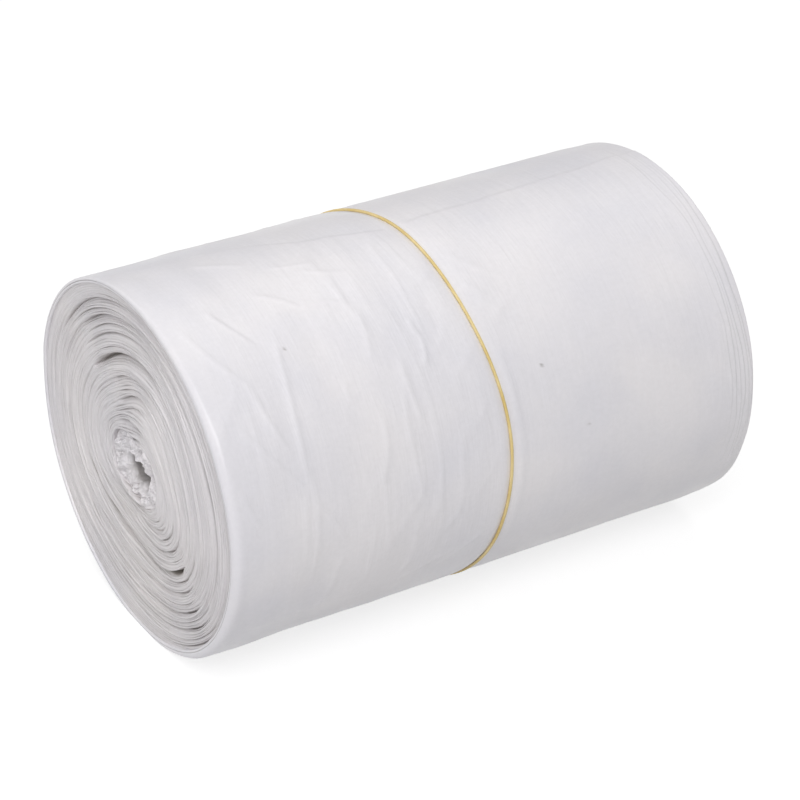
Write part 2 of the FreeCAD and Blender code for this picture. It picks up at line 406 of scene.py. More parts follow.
def film_far_half():
    """The side film from the band over the terraces of the far shoulder and round the far rim."""
    angle = np.linspace(0.0, 2.0 * np.pi, ROUND_COUNT, endpoint=False)[None, :]
    begin = band_centre(angle)
    plain_x = begin + (SHOULDER_X - begin) * np.linspace(0.0, 1.0, PLAIN_ROWS)[:, None]
    terrace_x = np.linspace(SHOULDER_X, FAR_RIM_X - RIM_ROUND, TERRACE_ROWS + 1)[1:]
    rim = np.radians(np.linspace(0, 90, RIM_ROWS + 1)[1:])
    rim_x = FAR_RIM_X - RIM_ROUND + RIM_ROUND * np.sin(rim)
    end_x = np.concatenate([terrace_x, rim_x, WALL_X])[:, None] + 0.0 * angle
    x = np.concatenate([plain_x, end_x])
    flat = np.zeros(PLAIN_ROWS + TERRACE_ROWS)
    inset = np.concatenate([flat, RIM_ROUND - RIM_ROUND * np.cos(rim), WALL_INSET])[:, None]
    waver = 0.35 * drift(np.full(angle.shape, 3.4), np.degrees(angle) / 360.0 * 12.0, 35, 12)
    x = x + waver * smooth_step(x, 70.0, FAR_RIM_X)
    angle = np.broadcast_to(angle, x.shape)
    shift = side_shift(x, angle) - far_drop(x, np.degrees(angle)) - inset
    # Painted shade on the last rows, inside the far rim
    return side_piece("film_far_half", x, angle, shift, {-2: 0.8, -1: 0.8})


# The wound turns that show at the two ends

# A strip is wound as a spiral: points on a turn, layers in its bundle of film, mm from one turn
# to the next, the level (mean radius) at its start, and the turns where it starts and ends
TURN_COLUMNS = 340
LAYER_COUNT = 7
PITCH = 5.9
FIRST_LEVEL = 0.78
FIRST_TURN = 0.05
LAST_TURN = 9.25

# Levels where it goes under the core and under the rim, and where the turns lie closer
CORE_LEVEL = 10.8
RIM_LEVEL = 51.6
CLOSE_LEVEL = 39.0
CLOSE_SHARE = 0.78

# The strip's UV in millimetres: length that one turn is given, and the step to the next turn
TURN_LENGTH = 60.0
TURN_PERIOD = (TURN_LENGTH, -PITCH)

# Depths at the near end below its highest point, and of a closed gap below the layers
USUAL_DEPTH = 1.25
LEAST_DEPTH = 0.25
FLUSH_DEPTH = 0.4
HIDDEN_DEPTH = 3.2
CLOSED_GAP = 0.55


def ring_place(level, angle, slump=1.0):
    """Where a film at that level passes. radius = level + oval, and inside the rim also
    1.7 cos 2(a - 12) + 2.3 cos 3(a + 12.6), as the loose turns have slumped to a rounded
    triangle; near the core they turn to an oval of their own round a lower centre."""
    core = 1.0 - smooth_step(level, 10.0, 20.0)
    free = np.clip(1.0 - (level / MEAN_RADIUS) ** 2, 0.0, 1.0)
    loose = free * (1.0 - core) * slump
    oval = 1.7 * np.cos(2.0 * (angle - math.radians(12.0)))
    corners = 2.3 * np.cos(3.0 * (angle + math.radians(12.6)))
    inner_oval = 2.0 * np.cos(2.0 * (angle - math.radians(15.0)))
    radius = level + (1.0 - free) * SAG_WIDTH * np.cos(2.0 * angle) + loose * (oval + corners)
    radius = radius + core * inner_oval * slump
    y = radius * np.cos(angle) + (3.0 * core - 0.2 * loose) * slump
    z = radius * np.sin(angle) + 1.3 * loose - 2.1 * core * slump
    return y, soft_floor(AXIS_Z + z, 0.2)


def drawn_close(level):
    """The level with the turns outside CLOSE_LEVEL lying closer."""
    return np.where(level > CLOSE_LEVEL, CLOSE_LEVEL + CLOSE_SHARE * (level - CLOSE_LEVEL), level)


def outer_level(level):
    """The turns lie closer outside CLOSE_LEVEL, and stop inside the rim and at the core."""
    level = drawn_close(level)
    level = np.where(level > RIM_LEVEL, RIM_LEVEL + 0.05 * (level - RIM_LEVEL), level)
    return np.where(level < CORE_LEVEL, CORE_LEVEL - 0.05 * (CORE_LEVEL - level), level)


def wound_turns():
    """How many turns are wound at each column of the strip."""
    columns = int((LAST_TURN - FIRST_TURN) * TURN_COLUMNS)
    return FIRST_TURN + np.arange(columns + 1) / TURN_COLUMNS


def wound_piece(name, wound, share, place, shade, reverse):
    """The strip as a piece. Its last row is its first row one turn later, so the turns are sewn
    together. Points that no quad uses are dropped, and reverse turns its faces over."""
    rows, columns = share.shape
    index = np.arange(rows * columns).reshape(rows, columns)
    index[-1, :columns - TURN_COLUMNS] = index[0, TURN_COLUMNS:]
    quads = np.stack([index[:-1, :-1], index[:-1, 1:], index[1:, 1:], index[1:, :-1]], axis=-1)
    quads = quads.reshape(-1, 4)
    if reverse:
        quads = quads[:, [0, 3, 2, 1]]
    used = np.zeros(share.size, bool)
    used[quads.ravel()] = True
    number = np.cumsum(used) - 1
    points = np.stack(place, axis=-1).reshape(-1, 3)[used]
    uv = np.stack([wound * TURN_LENGTH + 0.0 * share, share * PITCH], axis=-1).reshape(-1, 2)[used]
    return make_piece(name, points, number[quads], uv, shade.ravel()[used], 0, TURN_PERIOD)


# Open gaps between bundles at the near end: turn number from the core, first and last angle
# on that turn, depth
GAPS = [
    (2, 46, 108, 2.0),
    (3, 50, 110, 1.9),
    (4, 52, 108, 1.6),
    (5, 36, 116, 3.6),
    (6, 38, 112, 1.7),
    (7, 42, 108, 2.2),
    (8, 24, 100, 1.8),
    (2, 212, 252, 1.2),
    (3, 214, 256, 1.7),
    (4, 222, 338, 5.4),
    (5, 216, 268, 1.7),
    (6, 222, 270, 2.4),
    (7, 208, 246, 1.8),
    (8, 222, 244, 1.8),
    (5, -36, 26, 2.4),
    (3, 100, 200, 0.9),
    (4, 118, 200, 0.9),
]

# Deeper grooves between two layers of one bundle: turn number, layer outside the groove, first
# and last angle, depth
SPLITS = [
    (4, 3, -40, 24, 1.4),
    (6, 3, 44, 92, 1.2),
    (4, 3, 208, 250, 1.2),
    (2, 2, 46, 100, 0.9),
    (2, 4, 46, 100, 0.9),
    (1, 5, 46, 96, 0.9),
    (2, 3, 205, 262, 1.0),
    (7, 3, 30, 90, 1.0),
    (7, 4, 215, 245, 0.9),
    (5, 3, 50, 95, 1.0),
    (5, 4, 225, 262, 0.9),
    (3, 3, 60, 102, 0.9),
    (6, 4, 214, 258, 1.0),
    (8, 2, 205, 238, 0.9),
    (6, 2, -60, 30, 0.7),
    (7, 4, -70, 20, 0.8),
    (3, 4, 120, 205, 0.7),
    (5, 2, 120, 208, 0.7),
    (6, 4, 110, 200, 0.5),
]

# Points across a layer: place on it, and how far it dips with the groove inside and outside it
LAYER_POINTS = [(0.16, 0.6, 0.06), (0.5, 0.25, 0.25), (0.84, 0.06, 0.6)]


def stretch(wound, turn, first, last, hook=6.0):
    """1 between two angles of a turn. It fades out over 30 degrees, and in over 16, or over
    hook degrees at the bottom, where the gaps end suddenly."""
    degrees = 360.0 * (wound - turn)
    fade = hook if first > 190 else 16.0
    rise = smooth_step(degrees, first - 4.0, first - 4.0 + fade)
    return rise * (1.0 - smooth_step(degrees, last - 14.0, last + 16.0))


def gap_depth(wound, hook=6.0):
    """Depth in mm of the gap under a bundle's inner edge, by turns wound."""
    deep = np.full(wound.shape, CLOSED_GAP)
    for turn, first, last, depth in GAPS:
        deep = np.maximum(deep, depth * stretch(wound, turn, first, last, hook))
    return deep


def gap_width(deep):
    """Half the width of a gap of that depth, as a share of the strip's width."""
    return np.minimum(0.06 + 0.13 * deep, 0.6) / PITCH


def split_depth(wound):
    """The depth of the groove under each layer, one row a layer."""
    deep = np.zeros((LAYER_COUNT + 1, wound.size))
    for turn, layer, first, last, depth in SPLITS:
        deep[layer] = np.maximum(deep[layer], depth * stretch(wound, turn, first, last))
    return deep


def near_layers(wound, top, bottom, show):
    """Rows across the strip: two in the gap inside it, the layers, and two in the gap outside.
    A layer's width is exp(0.75 drift), its height a drift of its own, and the groove beside it
    0.2 + drift^1.3 where show is 1. Returns the rows' places across from 0 to 1, the depths
    of those on the layers, and the painted shade of all: dark down in the gaps and grooves,
    on the banks, and on the wall of a deep gap."""
    deep_in = gap_depth(wound)
    deep_out = gap_depth(wound + 1.0)
    width_in = gap_width(deep_in)
    width_out = gap_width(deep_out)
    number = np.arange(LAYER_COUNT)[:, None] + 0.0 * wound
    widths = np.exp(0.75 * drift(number * 3.0 + 0.5, wound * 7.0 + number * 0.37, 43, STRIP_CELLS))
    edges = np.concatenate([0.0 * widths[:1], np.cumsum(widths, axis=0) / widths.sum(axis=0)])
    edges = width_in + (1.0 - width_in - width_out) * edges
    lift = 0.46 * drift(number * 2.0 + 0.5, wound * 15.0 + number * 5.3, 41, STRIP_CELLS)
    lift = lift * (0.3 + 0.7 * show)
    fine = drift(number * 2.0 + 5.5, wound * 17.0 + number * 3.1, 44, STRIP_CELLS)
    fine = (0.2 + np.maximum(fine, 0.0) ** 1.3) * show
    split = split_depth(wound)

    shares = [0.0 * wound, edges[0] - 0.7 * width_in]
    depths = []
    # Painted shade down in the gap inside the strip. The last two rows paint it in the gap outside
    shades = [np.minimum(deep_in / 4.0, 1.0), np.minimum(deep_in / 5.0, 0.9)]
    for layer in range(LAYER_COUNT):
        if layer > 0:
            groove = fine[layer] + split[layer]
            shares.append(edges[layer])
            depths.append(0.5 * (lift[layer] + lift[layer - 1]) + groove)
            shades.append(np.minimum(groove / 1.3, 1.0))
        for place, inner, outer in LAYER_POINTS:
            bank = bottom * inner * split[layer] + top * outer * split[layer + 1]
            shares.append(edges[layer] + place * (edges[layer + 1] - edges[layer]))
            depths.append(lift[layer] + bank)
            shades.append(0.35 * bank)
    # Painted shade on the wall of a deep gap inside the strip
    wall_shade = np.minimum(deep_in / 5.0, 1.0) ** 3
    shades[2] = shades[2] + 0.9 * wall_shade
    shades[3] = shades[3] + 0.6 * wall_shade
    shares += [edges[-1] + 0.7 * width_out, 1.0 + 0.0 * wound]
    shades += [np.minimum(deep_out / 5.0, 0.9), np.minimum(deep_out / 4.0, 1.0)]
    return np.stack(shares), np.stack(depths), np.stack(shades)


def near_turns():
    """Across the wound strip run the layers of a bundle of film, parted by fine grooves; the
    strip's outer edge is the next turn's inner edge, in the gap. At the top a bundle slopes
    down to the gap outside it, at the bottom to the gap inside it. At the sides it is tilted.
    Outermost it lies flush with the rim, or stands as an edge where the rim has slumped."""
    wound = wound_turns()
    angle = wound * 2.0 * np.pi
    degrees = np.degrees(angle) % 360.0
    top = window(degrees, 30.0, 120.0, 50.0)
    bottom = window(degrees, 205.0, 320.0, 50.0)
    right = window(degrees, 125.0, 222.0, 60.0)
    left = window(degrees, -50.0, 30.0, 50.0)
    inner = 1.0 - smooth_step(FIRST_LEVEL + PITCH * (wound + 0.5), 26.0, 32.0)
    calm = 1.0 - 0.85 * window(degrees, 108.0, 212.0, 40.0) * inner
    show = calm * (0.35 + 0.65 * np.maximum(top, bottom))
    share, layer_depths, shade = near_layers(wound, top, bottom, show)

    uneven = 0.45 * drift(0.0 * share + 0.5, wound * 5.0 + 0.0 * share, 42, STRIP_CELLS)
    uneven = uneven + 0.4 * drift(0.0 * share + 2.5, wound * 1.7 + 0.0 * share, 45, STRIP_CELLS)
    uneven = uneven + 0.3 * drift(share * 1.6 + 7.5, wound * 3.1 + 0.0 * share, 46, STRIP_CELLS)
    tilt = 1.5 * right * calm + 0.5 * right - 0.8 * left
    to_outside = np.clip((share - 0.35) / 0.65, 0.0, 1.0) ** 2
    to_inside = np.clip((0.5 - share) / 0.5, 0.0, 1.0) ** 2
    bank_out = (0.1 + 0.75 * top) * gap_depth(wound + 1.0, 44.0) * to_outside
    bank_in = (0.1 + 0.75 * bottom) * gap_depth(wound, 44.0) * to_inside
    depth = USUAL_DEPTH + uneven + tilt * (share - 0.5) + bank_out + bank_in
    depth[2:-2] += layer_depths
    depth[0] = USUAL_DEPTH + gap_depth(wound)
    depth[-1] = USUAL_DEPTH + gap_depth(wound + 1.0)
    depth[1] = np.maximum(depth[0] * 0.95, depth[2])
    depth[-2] = np.maximum(depth[-1] * 0.95, depth[-3])

    level = FIRST_LEVEL + PITCH * (wound + share)
    close = drawn_close(level)
    rim_edge = np.exp(-np.abs(close - 50.0) / 0.7) * window(degrees, 112.0, 215.0, 50.0)
    depth = depth + 0.7 * rim_edge
    flush = smooth_step(close, 45.5, 50.5) * (1.0 - window(degrees, 120.0, 235.0, 60.0))
    depth = depth * (1.0 - 0.8 * flush) + FLUSH_DEPTH * flush
    hidden = smooth_step(CORE_LEVEL - close, 0.0, 1.0) + smooth_step(close - RIM_LEVEL, 0.0, 1.0)
    depth = np.maximum(depth, LEAST_DEPTH) * (1.0 - hidden) + HIDDEN_DEPTH * hidden
    y, z = ring_place(outer_level(level), angle + 0.0 * level)
    speck = np.exp(-((y - NEAR_SPECK[0]) ** 2 + (z - NEAR_SPECK[1]) ** 2) / SPECK_RADIUS ** 2)
    # Painted shade on the banks that slope into the gaps, and darker towards the bottom. Next to it, a
    # painted shadow beside the slumped rim. The speck is a real dark speck
    slopes = 0.1 * bank_out + 0.16 * bank_in + 0.07 * bottom
    shade = np.maximum(shade, 0.7 * rim_edge) + slopes + speck
    return wound_piece("near_turns", wound, share, (NEAR_X + depth, y, z), shade, False)


# The far end: how far its turns rise to the crown, and the dip between two layers
CROWN_RISE = 2.7
LAYER_DIP = 0.2


def far_turns():
    """The far end's tight turns: the same strip without gaps, on a low dome that falls off with
    the square of the level."""
    wound = wound_turns()
    angle = wound * 2.0 * np.pi
    steps = np.append(np.arange(LAYER_COUNT)[:, None] + [0.0, 0.25, 0.75], float(LAYER_COUNT))
    share = (steps / LAYER_COUNT)[:, None] + 0.0 * wound
    layer = np.clip(np.floor(share * LAYER_COUNT), 0, LAYER_COUNT - 1)
    uneven = 0.2 * drift(layer * 2.0 + 0.5, wound * 16.0 + 0.0 * share, 51, STRIP_CELLS)
    uneven[0] = 0.0
    uneven[-1] = 0.0
    dip = np.zeros(share.shape)
    dip[0::3] = LAYER_DIP
    raw = FIRST_LEVEL + PITCH * (wound + share)
    hidden = smooth_step(CORE_LEVEL - raw, 0.0, 1.0) + smooth_step(raw - 52.5, 0.0, 1.0)
    level = outer_level(raw)
    crown = CROWN_RISE * (1.0 - (level / MEAN_RADIUS) ** 2)
    x = FAR_RIM_X - 0.5 + crown - dip - uneven - 2.0 * hidden
    y, z = ring_place(np.minimum(level, 50.2), angle + 0.0 * raw, slump=0.5)
    # Painted shade in the dips between layers
    return wound_piece("far_turns", wound, share, (x, y, z), 2.5 * dip, True)


# The crumpled film round and through the hollow

HOLLOW_COLUMNS = 400

# Its two mouths: end of the roll, slump of the turns round it, y and z of the mouth, rows of
# crushed film, its seed, and how high its folds are as a share
MOUTHS = [
    (-1, 1.0, 1.6, -2.8, 110, 61, 1.0),
    (1, 0.5, -1.2, -1.2, 50, 71, 0.45),
]

# Depths of the rows down its throat, and its radius, y and z in the middle of the roll
THROAT = [4.6, 7.0, 10.0, 14.0, 22.0, 36.0, 54.0, 81.0]
THROAT_RADIUS = 4.9
THROAT_Y = -1.0
THROAT_Z = -1.2

# Crushed film: size and height of each octave of its folds, in mm
FOLDS = [(4.6, 0.7), (2.1, 0.62), (1.05, 0.34), (0.6, 0.13)]


def hollow_outline(angle):
    """The hollow's mouth, a slumped four-cornered oval: radius = 5 + 1.3 cos 2(a - 8)
    + 0.5 cos 4(a - 38)."""
    oval = 1.3 * np.cos(2.0 * (angle - math.radians(8.0)))
    corners = 0.5 * np.cos(4.0 * (angle - math.radians(38.0)))
    return 5.0 + oval + corners


def crumple(y, z, seed):
    """Sharp-edged creases of crushed film: octaves of 0.45 - 2 |drift|, all bent by a slower
    drift, and pleats across the lower side towards -Y."""
    bend_y = y + 1.4 * drift(y / 3.0 + 8.5, z / 3.0 + 40.3, seed + 7, FOLD_CELLS)
    bend_z = z + 1.4 * drift(y / 3.0 + 21.5, z / 3.0 + 44.3, seed + 8, FOLD_CELLS)
    total = 0.0 * y
    for octave, (size, height) in enumerate(FOLDS):
        wave = drift(bend_y / size + 31.5, bend_z / size + 40.2, seed + octave, FOLD_CELLS)
        total = total + height * (0.45 - 2.0 * np.abs(wave))
    pleats = np.abs((0.55 * bend_y + bend_z) / 1.3 % 1.0 - 0.5)
    return total + 0.8 * pleats * np.exp(-((y + 1.0) ** 2 + (z + 8.0) ** 2) / 12.0)


def core_film():
    """Rows run from under the near turns over the crushed film round the hollow, down its mouth,
    along the hollow and out the same way at the far end. Mouth and rim of the crushed film are
    joined by straight blends of their two outlines."""
    angle = np.linspace(0.0, 2.0 * np.pi, HOLLOW_COLUMNS, endpoint=False)[None, :]
    mouth = hollow_outline(angle)
    throat = np.array(THROAT)[:, None]
    narrow = smooth_step(throat, 2.0, 30.0)
    halves = []
    for side, slump, mouth_y, mouth_z, row_count, seed, folded in MOUTHS:
        blend = np.linspace(0.0, 1.0, row_count)[:, None]
        ring_y, ring_z = ring_place(CORE_LEVEL + 1.0 + 0.0 * angle, angle, slump)
        ring_z = ring_z - AXIS_Z
        y = ring_y * (1.0 - blend) + (mouth * np.cos(angle) + mouth_y) * blend
        z = ring_z * (1.0 - blend) + (mouth * np.sin(angle) + mouth_z) * blend
        rise = smooth_step(blend, 0.0, 0.25)
        fall = smooth_step(blend, 0.86, 1.0)
        lump = crumple(y, z, seed) * smooth_step(blend, 0.05, 0.3)
        lump = lump * (1.0 - 0.5 * smooth_step(blend, 0.8, 1.0))
        down = 3.6 - 1.9 * rise - lump * folded + 1.3 * fall ** 2
        top = NEAR_X if side < 0 else FAR_CROWN_X
        x = top - side * np.maximum(down, 0.35)
        wall = mouth * (1.0 - narrow) + THROAT_RADIUS * narrow
        wall = wall + 0.7 * drift(throat / 6.0, np.degrees(angle) / 360.0 * 11.0, 81, 11)
        wall_y = wall * np.cos(angle) + mouth_y * (1.0 - narrow) + THROAT_Y * narrow
        wall_z = wall * np.sin(angle) + mouth_z * (1.0 - narrow) + THROAT_Z * narrow
        x = np.concatenate([x, top - side * (throat + 0.0 * angle)])
        y = np.concatenate([y, wall_y])
        z = np.concatenate([z, wall_z])
        rows = np.stack([x, y, z + AXIS_Z], axis=-1)
        halves.append(rows if side < 0 else rows[::-1])
    rows = np.concatenate(halves)
    uv = np.stack([rows[..., 1], rows[..., 2]], axis=-1).reshape(-1, 2)
    faces = ring_quads(len(rows), HOLLOW_COLUMNS)[:, ::-1]
    # Painted shade down the hollow: none near the ends' faces, full from about 5 mm in
    shade = 0.55 * smooth_step(-NEAR_X - 1.0 - np.abs(rows[..., 0]), 1.2, 4.0)
    return make_piece("core_film", rows.reshape(-1, 3), faces, uv, shade)


# The rubber band

def elastic_band():
    """A rounded square section carried round the leaning oval. The section is a superellipse,
    half width * cos^0.6 along the roll and half height * sin^0.6 outwards."""
    columns = 720
    rows = 16
    angle = np.linspace(0.0, 2.0 * np.pi, columns, endpoint=False)[None, :]
    turn = np.linspace(0.0, 2.0 * np.pi, rows, endpoint=False)[:, None]
    side = np.sign(np.cos(turn)) * np.abs(np.cos(turn)) ** 0.6 * BAND_HALF_WIDTH
    out = np.sign(np.sin(turn)) * np.abs(np.sin(turn)) ** 0.6 * BAND_HALF_HEIGHT
    y, z = roll_section(angle + 0.0 * turn, out - BAND_SINK)
    x = band_centre(angle) + side
    points = np.stack([x, y, z], axis=-1).reshape(-1, 3)
    row, column = np.meshgrid(np.arange(rows), np.arange(columns), indexing="ij")
    below = (row + 1) % rows
    after = (column + 1) % columns
    quads = np.stack([row * columns + column, below * columns + column,
                      below * columns + after, row * columns + after], axis=-1).reshape(-1, 4)
    uv = np.stack([np.degrees(angle) + 0.0 * turn, np.degrees(turn) + 0.0 * angle], axis=-1)
    shade = np.zeros(len(points))
    return make_piece("elastic_band", points, quads[:, ::-1], uv.reshape(-1, 2), shade)


# Materials

COOL_WHITE = (0.81, 0.795, 0.835, 1)
WARM_WHITE = (0.875, 0.85, 0.87, 1)
# Painted shade: the brown that gaps, grooves, valleys and the hollow darken towards. The real dark specks
# take it too
SHADE_AND_SPECK_BROWN = (0.24, 0.215, 0.19, 1)
DULL_YELLOW = (0.72, 0.54, 0.20, 1)
LIGHT_YELLOW = (0.86, 0.70, 0.36, 1)
PURE_WHITE = (1, 1, 1, 1)

# What the film's own colour is multiplied by at the wound edges and in the crushed core
EDGE_CAST = (0.985, 0.97, 0.955, 1)
CORE_CAST = (0.98, 0.97, 0.96, 1)


def new_material(name):
    """An empty node material, with its node tree and its Principled shader."""
    material = bpy.data.materials.new(name)
    material.use_nodes = True
    tree = material.node_tree
    return material, tree, tree.nodes["Principled BSDF"]


def add_node(tree, kind, values=None, **settings):
    """A node with its settings, and its inputs linked from a socket or set to a value."""
    node = tree.nodes.new(kind)
    for key, value in settings.items():
        setattr(node, key, value)
    for key, value in (values or {}).items():
        if isinstance(value, bpy.types.NodeSocket):
            tree.links.new(value, node.inputs[key])
        else:
            node.inputs[key].default_value = value
    return node


def stretched_noise(tree, vector, scale, turn, detail, seed):
    """Noise of vector turned about Z by a number of degrees and scaled unevenly."""
    place = add_node(tree, "ShaderNodeMapping", {
        "Vector": vector, "Rotation": (0, 0, math.radians(turn)), "Scale": scale,
        "Location": (seed, 2.0 * seed, 0.0)})
    noise = add_node(tree, "ShaderNodeTexNoise", {
        "Vector": place.outputs["Vector"], "Scale": 1.0, "Detail": detail, "Roughness": 0.55})
    return noise.outputs["Fac"]


def ranged(tree, value, low, high, to_low, to_high):
    """value mapped from low..high to to_low..to_high and held there."""
    node = add_node(tree, "ShaderNodeMapRange", {
        "Value": value, "From Min": low, "From Max": high, "To Min": to_low, "To Max": to_high})
    return node.outputs["Result"]


def summed(tree, first, second, factor):
    """first + factor * second."""
    node = add_node(tree, "ShaderNodeMath", {0: second, 1: factor, 2: first}, operation="MULTIPLY_ADD")
    return node.outputs["Value"]


def mixed(tree, factor, first, second, blend="MIX"):
    """Two colours mixed by factor, or multiplied with the blend MULTIPLY."""
    node = add_node(tree, "ShaderNodeMix", {"Factor": factor, "A": first, "B": second},
                    data_type="RGBA", blend_type=blend)
    return node.outputs["Result"]


def noise_at(tree, place, scale, detail):
    """Plain noise of a place, from 0 to 1."""
    noise = add_node(tree, "ShaderNodeTexNoise", {"Vector": place, "Scale": scale, "Detail": detail})
    return noise.outputs["Fac"]


def film_skin():
    """Node group for thin white film: a cool and a warm white in soft clouds, darker and browner
    with the painted shade and the real specks, uneven gloss, and a fine tooth for the bump."""
    tree = bpy.data.node_groups.new("film_skin", "ShaderNodeTree")
    for name, kind in (("Place", "Vector"), ("Shade", "Float")):
        tree.interface.new_socket(name, in_out="INPUT", socket_type="NodeSocket" + kind)
    for name, kind in (("Tone", "Color"), ("Gloss", "Float"), ("Tooth", "Float")):
        tree.interface.new_socket(name, in_out="OUTPUT", socket_type="NodeSocket" + kind)
    given = tree.nodes.new("NodeGroupInput").outputs
    result = tree.nodes.new("NodeGroupOutput").inputs
    cloud = ranged(tree, noise_at(tree, given["Place"], 34.0, 3.0), 0.35, 0.65, 0.0, 1.0)
    tone = mixed(tree, cloud, COOL_WHITE, WARM_WHITE)
    grain = ranged(tree, noise_at(tree, given["Place"], 900.0, 2.0), 0.3, 0.7, 0.97, 1.0)
    grey = add_node(tree, "ShaderNodeCombineColor", {0: grain, 1: grain, 2: grain}).outputs["Color"]
    tone = mixed(tree, 1.0, tone, grey, "MULTIPLY")
    # Painted shade: the colour goes towards the shade brown as the Shade input rises
    deep = ranged(tree, given["Shade"], 0.0, 1.0, 0.0, 0.9)
    tree.links.new(mixed(tree, deep, tone, SHADE_AND_SPECK_BROWN), result["Tone"])
    smear = noise_at(tree, given["Place"], 75.0, 4.0)
    tree.links.new(ranged(tree, smear, 0.3, 0.7, 0.31, 0.45), result["Gloss"])
    tree.links.new(noise_at(tree, given["Place"], 420.0, 4.0), result["Tooth"])
    return tree


def film_material(name, skin, wrinkles, distance, valley_shade, cast):
    """Film with its skin and wrinkles(tree), which give a height from 0 to 1. distance is the
    height of the wrinkles in millimetres, valley_shade says how much shade is painted into
    their valleys, and cast is the colour that the film's own is multiplied by."""
    material, tree, shader = new_material(name)
    place = tree.nodes.new("ShaderNodeTexCoord").outputs["Object"]
    shade = add_node(tree, "ShaderNodeAttribute", attribute_name="shade").outputs["Fac"]
    height = wrinkles(tree)
    # Painted shade in the valleys of the wrinkles, added to the shade attribute
    valley = ranged(tree, height, 0.25, 0.6, valley_shade, 0.0)
    shade = summed(tree, shade, valley, 1.0)
    group = add_node(tree, "ShaderNodeGroup", node_tree=skin)
    tree.links.new(place, group.inputs["Place"])
    tree.links.new(shade, group.inputs["Shade"])
    tone = mixed(tree, 1.0, group.outputs["Tone"], cast, "MULTIPLY")
    tree.links.new(tone, shader.inputs["Base Color"])
    tree.links.new(group.outputs["Gloss"], shader.inputs["Roughness"])
    relief = summed(tree, height, group.outputs["Tooth"], 0.12)
    bump = add_node(tree, "ShaderNodeBump", {"Height": relief, "Strength": 1.0, "Distance": distance * MM})
    tree.links.new(bump.outputs["Normal"], shader.inputs["Normal"])
    return material


def side_wrinkles(tree):
    """Fine wrinkles round the roll and two sets of faint slanting streaks, in UV millimetres."""
    uv = add_node(tree, "ShaderNodeUVMap", uv_map="along_across").outputs["UV"]
    round_lines = stretched_noise(tree, uv, (0.3, 0.045, 1.0), 3.0, 3.0, 5.0)
    centred = add_node(tree, "ShaderNodeMath", {0: round_lines, 1: 0.5}, operation="SUBTRACT")
    ridge = add_node(tree, "ShaderNodeMath", {0: centred.outputs["Value"]}, operation="ABSOLUTE")
    ridge = ridge.outputs["Value"]
    ridge = ranged(tree, ridge, 0.0, 0.12, 1.0, 0.0)
    slanted = stretched_noise(tree, uv, (0.5, 0.05, 1.0), 48.0, 2.0, 11.0)
    crossed = stretched_noise(tree, uv, (0.3, 0.05, 1.0), -62.0, 2.0, 17.0)
    total = summed(tree, crossed, ridge, 0.1)
    total = summed(tree, total, round_lines, 0.28)
    return summed(tree, total, slanted, 0.8)


def edge_lines(tree):
    """The edges of single films, drawn out along the strip, in two widths."""
    uv = add_node(tree, "ShaderNodeUVMap", uv_map="along_across").outputs["UV"]
    layers = stretched_noise(tree, uv, (0.16, 2.6, 1.0), 0.0, 3.0, 3.0)
    hairs = stretched_noise(tree, uv, (0.5, 6.5, 1.0), 0.0, 2.0, 9.0)
    return summed(tree, ranged(tree, layers, 0.3, 0.7, 0.0, 0.7), hairs, 0.45)


def crushed_lines(tree):
    """Folded film: distance to the edges of uneven cells, with noise on top."""
    place = tree.nodes.new("ShaderNodeTexCoord").outputs["Object"]
    cells = add_node(tree, "ShaderNodeTexVoronoi", {"Vector": place, "Scale": 420.0},
                     feature="DISTANCE_TO_EDGE")
    folds = ranged(tree, cells.outputs["Distance"], 0.0, 0.35, 0.0, 0.7)
    return summed(tree, folds, noise_at(tree, place, 700.0, 3.0), 0.4)


def rubber_material():
    """Dull yellow rubber: two yellows in patches along the band, a fine tooth and faint scuffs."""
    material, tree, shader = new_material("yellow_rubber")
    place = tree.nodes.new("ShaderNodeTexCoord").outputs["Object"]
    patches = noise_at(tree, place, 90.0, 3.0)
    tone = mixed(tree, ranged(tree, patches, 0.35, 0.65, 0.0, 1.0), DULL_YELLOW, LIGHT_YELLOW)
    tree.links.new(tone, shader.inputs["Base Color"])
    tree.links.new(ranged(tree, patches, 0.3, 0.7, 0.38, 0.55), shader.inputs["Roughness"])
    bump = add_node(tree, "ShaderNodeBump", {
        "Height": noise_at(tree, place, 1500.0, 3.0), "Strength": 0.5, "Distance": 0.05 * MM})
    tree.links.new(bump.outputs["Normal"], shader.inputs["Normal"])
    return material


skin = film_skin()
# film_edges and film_core paint shade into the valleys of their lines and folds
side_film = film_material("film_side", skin, side_wrinkles, 0.09, 0.0, PURE_WHITE)
edge_film = film_material("film_edges", skin, edge_lines, 0.16, 0.2, EDGE_CAST)
crushed_film = film_material("film_core", skin, crushed_lines, 0.14, 0.16, CORE_CAST)

FILM_PIECES = [
    (film_near_half(), side_film),
    (film_far_half(), side_film),
    (near_turns(), edge_film),
    (far_turns(), edge_film),
    (core_film(), crushed_film),
]
for piece, finish in FILM_PIECES:
    piece.data.materials.append(finish)
    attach(piece, "root")
    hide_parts("bag_roll")

band = elastic_band()
band.data.materials.append(rubber_material())
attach(band, "root")
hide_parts("rubber_band")


# The floor, the light and the camera

FLOOR_HALF = 6.0
FLOOR_GREY = (0.62, 0.62, 0.62, 1)

# What the camera sees of the floor: a darker grey that glows, so it is white but keeps shadows
SEEN_GREY = (0.36, 0.36, 0.36, 1)
SEEN_GLOW = 0.76

# Strength of the world as light, and as the camera sees it
WORLD_LIGHT = 0.33
WORLD_SEEN = 1.0

# Square lamps aimed at the roll: name, place, size and power
LAMP_AIM = (0, 0, 0.05)
LAMPS = [
    ("key", (-0.45, -0.76, 0.95), 0.6, 7.6),
    ("top", (0.2, 0.4, 1.3), 1.2, 5.0),
    ("near_end", (-1.2, 0.1, 0.5), 1.0, 3.1),
]

